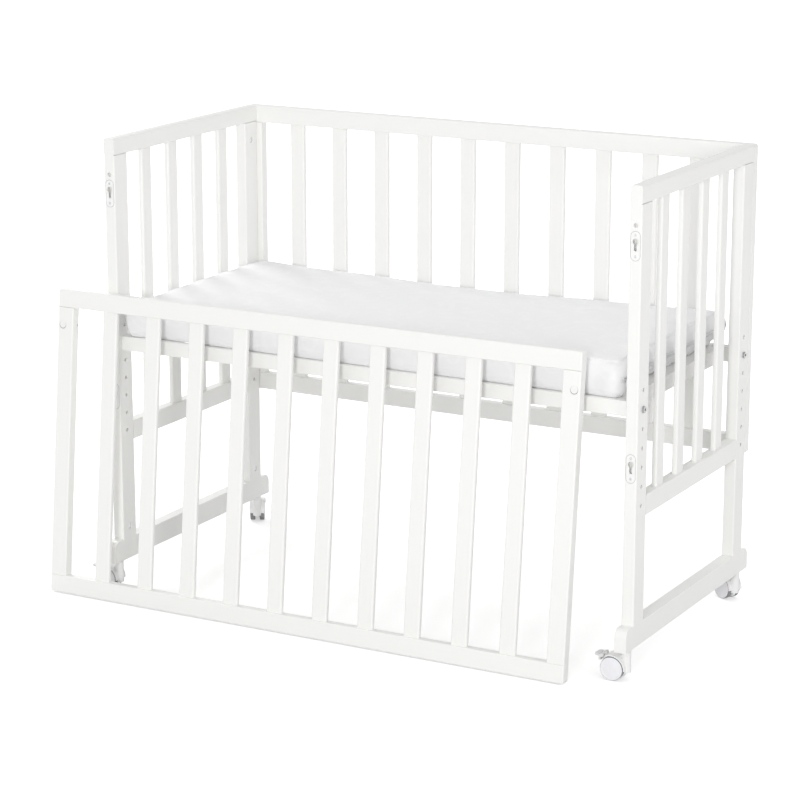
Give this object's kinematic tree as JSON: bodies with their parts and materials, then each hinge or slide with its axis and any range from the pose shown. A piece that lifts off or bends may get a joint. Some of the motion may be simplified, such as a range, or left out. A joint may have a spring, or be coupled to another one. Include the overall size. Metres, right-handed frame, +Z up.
{
  "type": "bedside sleeper crib",
  "caption": "Bedside sleeper crib on swivel casters, slatted ends and rear, front side lifted off and leaning, base bolted at a chosen height, mattress.",
  "frame": {"origin": "on the floor, in the middle of the ground that the whole object covers, the leaning front side included", "axes": "+X along the crib's length to the right, +Y to the rear side, +Z up"},
  "size_m": [1.0374, 0.5512, 0.764],
  "materials": {
    "white_paint": "satin opaque white paint on beech",
    "base_wood": "satin opaque white paint",
    "plate_white": "white coated steel",
    "stud_steel": "zinc plated",
    "bolt_steel": "nickel plated",
    "nut_steel": "zinc plated",
    "caster_white": "glossy white nylon",
    "wheel_grey": "pale grey soft tread",
    "steel_pin": "bright",
    "cap_white": "white",
    "mattress_fabric": "white woven cover",
    "zip_white": "white",
    "tag_grey": "dark grey woven tape"
  },
  "bodies": {
    "crib_frame": {"base_bolts": "bolt_steel", "base_end_rails": "base_wood", "base_front_rail": "white_paint", "base_inserts": "nut_steel", "base_rear_rail": "white_paint", "base_slats": "base_wood", "caster_sockets": "steel_pin", "end_bottom_rail_left": "white_paint", "end_bottom_rail_right": "white_paint", "end_slats_left": "white_paint", "end_slats_right": "white_paint", "end_top_rail_left": "white_paint", "end_top_rail_right": "white_paint", "foot_barrel_nuts": "nut_steel", "foot_beam_left": "white_paint", "foot_beam_right": "white_paint", "foot_bolts": "bolt_steel", "keyhole_plates": "plate_white", "post_front_left": "white_paint", "post_front_right": "white_paint", "post_rear_left": "white_paint", "post_rear_right": "white_paint", "rear_barrel_nuts": "nut_steel", "rear_bottom_rail": "white_paint", "rear_panel_bolts": "cap_white", "rear_slats": "white_paint", "rear_stile_left": "white_paint", "rear_stile_right": "white_paint", "rear_studs": "stud_steel", "rear_top_rail": "white_paint"},
    "gate": {"gate_top_rail": "white_paint", "gate_bottom_rail": "white_paint", "gate_stile_left": "white_paint", "gate_stile_right": "white_paint", "gate_slats": "white_paint", "gate_studs": "stud_steel"},
    "gate_lock_left": {"gate_lock_bolt_left": "cap_white"},
    "gate_lock_right": {"gate_lock_bolt_right": "cap_white"},
    "mattress_set": {"mattress": "mattress_fabric", "mattress_zip": "zip_white", "mattress_tag": "tag_grey"},
    "swivel_front_left": {"caster_housing_front_left": "caster_white", "caster_stem_front_left": "steel_pin"},
    "wheels_front_left": {"caster_wheels_front_left": "wheel_grey", "caster_axle_front_left": "steel_pin"},
    "swivel_front_right": {"caster_housing_front_right": "caster_white", "caster_stem_front_right": "steel_pin"},
    "wheels_front_right": {"caster_wheels_front_right": "wheel_grey", "caster_axle_front_right": "steel_pin"},
    "swivel_rear_left": {"caster_housing_rear_left": "caster_white", "caster_stem_rear_left": "steel_pin"},
    "wheels_rear_left": {"caster_wheels_rear_left": "wheel_grey", "caster_axle_rear_left": "steel_pin"},
    "swivel_rear_right": {"caster_housing_rear_right": "caster_white", "caster_stem_rear_right": "steel_pin"},
    "wheels_rear_right": {"caster_wheels_rear_right": "wheel_grey", "caster_axle_rear_right": "steel_pin"},
    "lever_front_left": {"brake_lever_front_left": "caster_white"},
    "lever_front_right": {"brake_lever_front_right": "caster_white"}
  },
  "joints": [
    {"name": "gate_lift_off", "type": "slide", "parent": "crib_frame", "child": "gate", "axis": [0, 0, 1], "range_m": [0, 0.5]},
    {"name": "gate_lock_left_push", "type": "slide", "parent": "gate", "child": "gate_lock_left", "axis": [0, 0.9951, -0.0993], "range_m": [0, 0.006]},
    {"name": "gate_lock_right_push", "type": "slide", "parent": "gate", "child": "gate_lock_right", "axis": [0, 0.9951, -0.0993], "range_m": [0, 0.006]},
    {"name": "mattress_lift_out", "type": "slide", "parent": "crib_frame", "child": "mattress_set", "axis": [0, 0, 1], "range_m": [0, 0.4]},
    {"name": "caster_swivel_front_left", "type": "hinge", "parent": "crib_frame", "child": "swivel_front_left", "pos_m": [-0.42449, -0.20698, 0.052], "axis": [0, 0, 1], "continuous": true},
    {"name": "wheel_roll_front_left", "type": "hinge", "parent": "swivel_front_left", "child": "wheels_front_left", "pos_m": [-0.44449, -0.20698, 0.019], "axis": [0, -1, 0], "continuous": true},
    {"name": "brake_press_front_left", "type": "hinge", "parent": "swivel_front_left", "child": "lever_front_left", "pos_m": [-0.46136, -0.20698, 0.03773], "axis": [0, -1, 0], "range_deg": [0, 18]},
    {"name": "caster_swivel_front_right", "type": "hinge", "parent": "crib_frame", "child": "swivel_front_right", "pos_m": [0.50551, -0.20698, 0.052], "axis": [0, 0, 1], "continuous": true},
    {"name": "wheel_roll_front_right", "type": "hinge", "parent": "swivel_front_right", "child": "wheels_front_right", "pos_m": [0.48551, -0.20698, 0.019], "axis": [0, -1, 0], "continuous": true},
    {"name": "brake_press_front_right", "type": "hinge", "parent": "swivel_front_right", "child": "lever_front_right", "pos_m": [0.46864, -0.20698, 0.03773], "axis": [0, -1, 0], "range_deg": [0, 18]},
    {"name": "caster_swivel_rear_left", "type": "hinge", "parent": "crib_frame", "child": "swivel_rear_left", "pos_m": [-0.42449, 0.23302, 0.052], "axis": [0, 0, 1], "continuous": true},
    {"name": "wheel_roll_rear_left", "type": "hinge", "parent": "swivel_rear_left", "child": "wheels_rear_left", "pos_m": [-0.43388, 0.25068, 0.019], "axis": [-0.8829, -0.4695, 0], "continuous": true},
    {"name": "caster_swivel_rear_right", "type": "hinge", "parent": "crib_frame", "child": "swivel_rear_right", "pos_m": [0.50551, 0.23302, 0.052], "axis": [0, 0, 1], "continuous": true},
    {"name": "wheel_roll_rear_right", "type": "hinge", "parent": "swivel_rear_right", "child": "wheels_rear_right", "pos_m": [0.48785, 0.24241, 0.019], "axis": [-0.4695, -0.8829, 0], "continuous": true}
  ]
}
